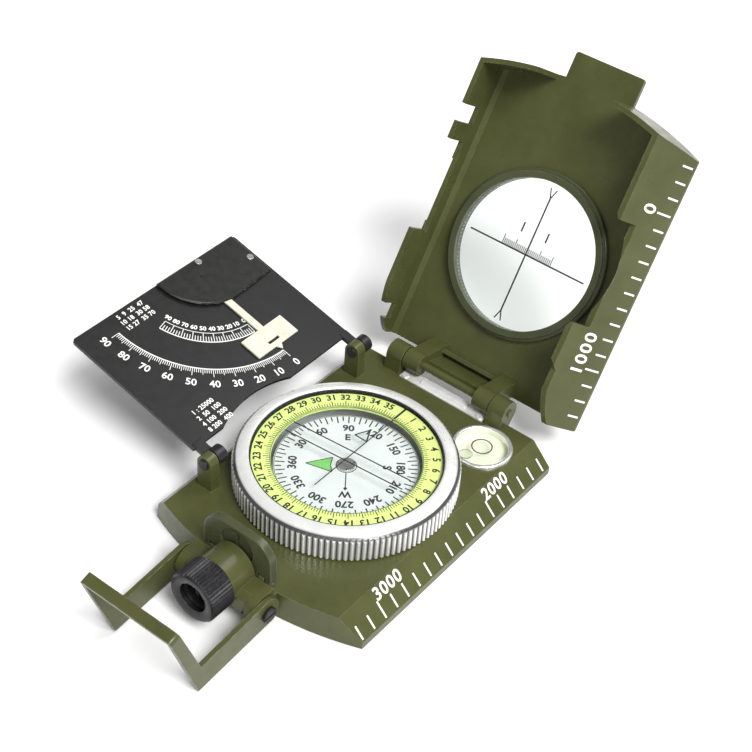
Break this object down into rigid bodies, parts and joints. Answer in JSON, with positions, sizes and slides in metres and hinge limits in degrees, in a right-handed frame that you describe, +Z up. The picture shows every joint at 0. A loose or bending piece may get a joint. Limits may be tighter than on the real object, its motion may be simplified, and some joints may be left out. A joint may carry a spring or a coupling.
{
  "type": "sighting compass",
  "caption": "Folding metal sighting compass with a turning bezel, lid with sight glass, clinometer panel, bubble level, magnifier and thumb loop.",
  "frame": {"origin": "on the bezel axis, in the plane the base rests on", "axes": "+Z up, +Y the sighting direction towards the lid hinge, +X towards the map scale"},
  "size_m": [0.0961, 0.1638, 0.0772],
  "materials": {
    "green_paint": "gloss",
    "green_cover": "satin",
    "black_steel": "black oxide",
    "bright_steel": "satin",
    "silver_bezel": "turned, bright anodised",
    "black_panel": "satin black",
    "black_knurl": "black anodised",
    "capsule_plastic": "gloss white",
    "dial_luminous": "luminous yellow-green",
    "seal_rubber": "matt",
    "clear_glass": "clear",
    "card_white": "printed white",
    "hub_brass": "turned",
    "vial_glass": "clear with pale liquid",
    "frame_green": "satin",
    "white_plate": "satin white"
  },
  "bodies": {
    "base": {"base_body": "green_paint", "bottom_plate": "green_cover", "bottom_screws": "bright_steel", "capsule_cup": "capsule_plastic", "pivot_post": "bright_steel", "dial_ring": "dial_luminous", "capsule_seal": "seal_rubber", "capsule_glass": "clear_glass", "bezel_snap_ring": "bright_steel", "bezel_friction_ring": "bright_steel", "level_cup": "silver_bezel", "level_plate": "capsule_plastic", "level_vial": "vial_glass", "lid_hinge_pin": "bright_steel", "detent_spring": "bright_steel", "spring_rivets": "bright_steel", "panel_pins": "black_steel", "eyepiece_bracket": "green_paint", "bracket_screws": "black_steel", "leaf_pin": "bright_steel", "loop_pivots": "black_steel"},
    "bezel": {"bezel_ring": "silver_bezel", "bezel_glass": "clear_glass"},
    "card": {"compass_card": "card_white", "card_hub": "hub_brass", "card_magnet": "black_steel"},
    "lid": {"lid_shell": "green_paint", "window_frame": "frame_green", "window_glass": "clear_glass"},
    "panel": {"clinometer_plate": "black_panel", "hub_cover": "black_panel", "cover_rivets": "black_steel", "pendulum_pin": "bright_steel"},
    "pendulum": {"pendulum": "white_plate"},
    "eyepiece": {"eyepiece_ring": "black_knurl"},
    "lens": {"lens_cell": "black_knurl", "eye_lens": "clear_glass", "lens_retainer": "black_knurl"},
    "leaf": {"leaf_sight": "green_paint"},
    "thumb_loop": {"thumb_loop": "green_paint"}
  },
  "joints": [
    {"name": "lid_hinge", "type": "hinge", "parent": "base", "child": "lid", "pos_m": [0, 0.0399, 0.011], "axis": [-1, 0, 0], "range_deg": [-122.5, 57.5]},
    {"name": "panel_hinge", "type": "hinge", "parent": "base", "child": "panel", "pos_m": [-0.0216, 0, 0.015], "axis": [0, -1, 0], "range_deg": [-165, 15]},
    {"name": "pendulum_swing", "type": "hinge", "parent": "panel", "child": "pendulum", "pos_m": [-0.06005, 0.0163, 0.02414], "axis": [-0.2588, 0, -0.9659], "range_deg": [-3, 92]},
    {"name": "bezel_turn", "type": "hinge", "parent": "base", "child": "bezel", "pos_m": [0, 0, 0.011], "axis": [0, 0, 1], "continuous": true},
    {"name": "card_spin", "type": "hinge", "parent": "base", "child": "card", "pos_m": [0, 0, 0.011], "axis": [0, 0, 1], "continuous": true},
    {"name": "loop_hinge", "type": "hinge", "parent": "base", "child": "thumb_loop", "pos_m": [0, -0.0413, 0.0061], "axis": [1, 0, 0], "range_deg": [-90, 60]},
    {"name": "leaf_fold", "type": "hinge", "parent": "base", "child": "leaf", "pos_m": [0, -0.0362, 0.009], "axis": [1, 0, 0], "range_deg": [-60, 0]},
    {"name": "eyepiece_focus", "type": "hinge", "parent": "base", "child": "eyepiece", "pos_m": [0, -0.048, 0.0098], "axis": [0, 1, 0], "range_deg": [-180, 180]},
    {"name": "lens_slide", "type": "slide", "parent": "base", "child": "lens", "axis": [0, 1, 0], "range_m": [-0.001, 0.001]}
  ],
  "couplings": [
    {"joint": "lens_slide", "follows": "eyepiece_focus", "m_per_rad": 0.00031831}
  ]
}
